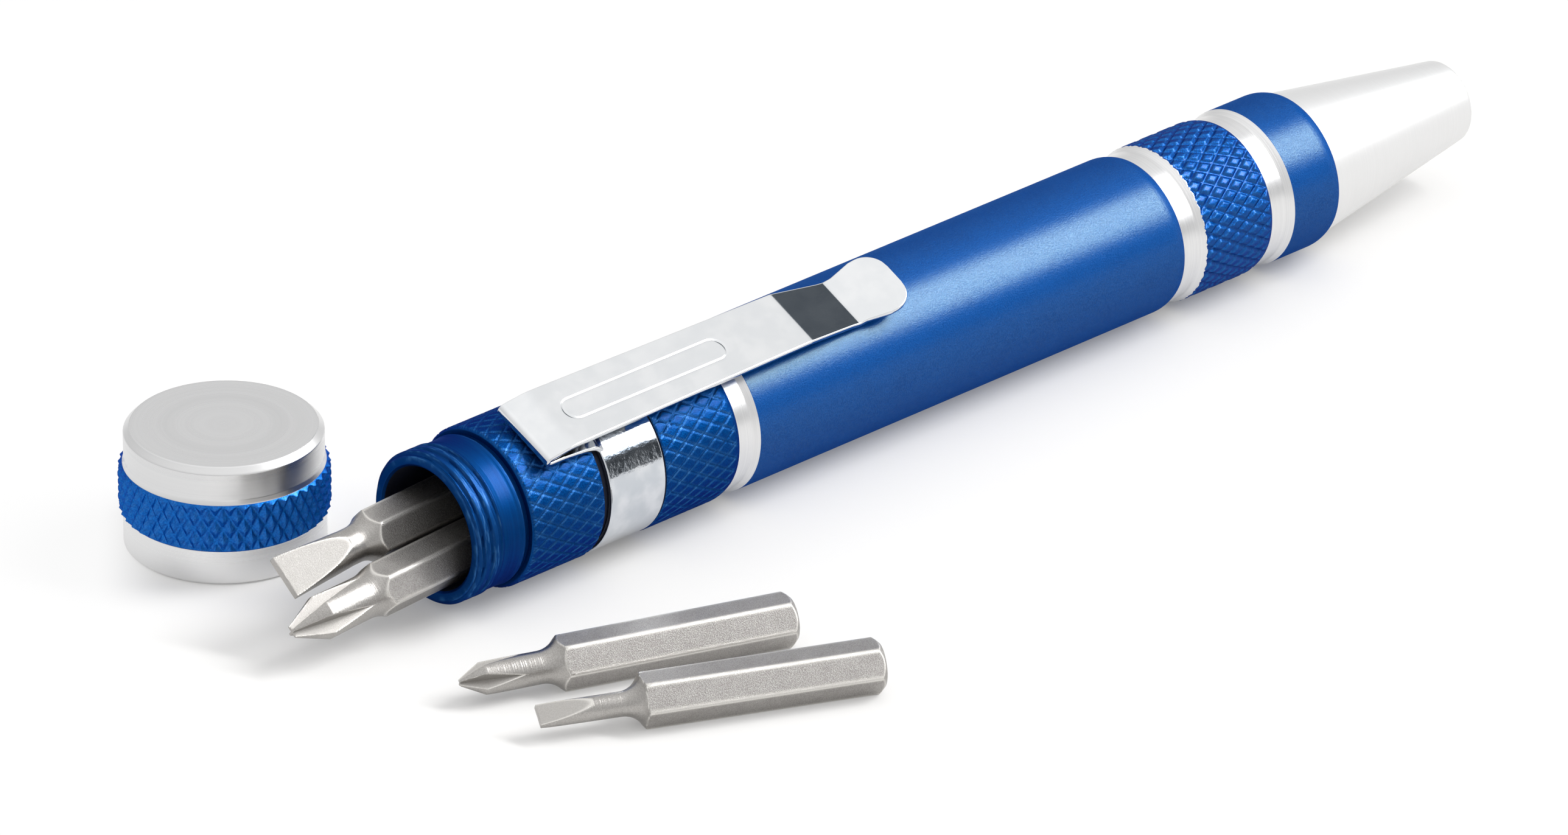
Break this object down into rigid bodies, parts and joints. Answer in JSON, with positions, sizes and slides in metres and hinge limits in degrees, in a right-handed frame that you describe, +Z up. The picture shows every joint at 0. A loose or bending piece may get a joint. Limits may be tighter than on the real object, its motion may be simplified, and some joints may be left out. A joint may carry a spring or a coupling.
{
  "type": "pocket screwdriver",
  "caption": "Pen-shaped screwdriver: a knurled barrel that stores hexagon bits, a magnetic bit socket in its nose, a spring pocket clip, and its screw cap taken off with spare bits beside it.",
  "frame": {"origin": "centre of the bit socket's mouth, at the nose's end, on the barrel's axis", "axes": "+X out of the bit socket along the barrel, +Y behind the barrel towards the cap, +Z up with the barrel lying down"},
  "size_m": [0.1285, 0.0641, 0.0156],
  "materials": {
    "anodised_barrel": "satin blue anodised, from the threaded mouth to the collar, with bright turned rings",
    "bright_nose": "bright satin-plated turned steel",
    "sleeve_steel": "dark broached steel",
    "plated_magnet": "plated",
    "clip_steel": "bright rolled spring sheet",
    "anodised_cap": "blue anodised knurl between bright turned bands",
    "bit_steel": "matte nickel-plated tool steel"
  },
  "bodies": {
    "barrel": {"barrel": "anodised_barrel", "nose_cone": "bright_nose", "hex_sleeve": "sleeve_steel", "socket_magnet": "plated_magnet", "clip_band": "clip_steel"},
    "clip": {"clip_arm": "clip_steel"},
    "cap": {"cap": "anodised_cap"},
    "stored_cross": {"bit_cross_large": "bit_steel"},
    "stored_slotted": {"bit_slotted_wide": "bit_steel"},
    "loose_cross": {"bit_cross_small": "bit_steel"},
    "loose_slotted": {"bit_slotted_small": "bit_steel"}
  },
  "joints": [
    {"name": "clip_flex", "type": "hinge", "parent": "barrel", "child": "clip", "pos_m": [-0.1025, -0.00347, 0.00762], "axis": [0, -0.91, -0.4147], "range_deg": [0, 5], "stiffness_Nm_per_rad": 1.2},
    {"name": "cap_lift", "type": "slide", "parent": "barrel", "child": "cap", "axis": [0, 0, 1], "range_m": [0, 0.04]},
    {"name": "cross_slide", "type": "slide", "parent": "barrel", "child": "stored_cross", "axis": [-0.9984, 0, -0.0558], "range_m": [-0.0155, 0.016]},
    {"name": "slotted_slide", "type": "slide", "parent": "barrel", "child": "stored_slotted", "axis": [-0.9984, 0, -0.0558], "range_m": [-0.012, 0.018]},
    {"name": "small_cross_lift", "type": "slide", "parent": "barrel", "child": "loose_cross", "axis": [0, 0, 1], "range_m": [0, 0.03]},
    {"name": "small_slotted_lift", "type": "slide", "parent": "barrel", "child": "loose_slotted", "axis": [0, 0, 1], "range_m": [0, 0.03]}
  ]
}
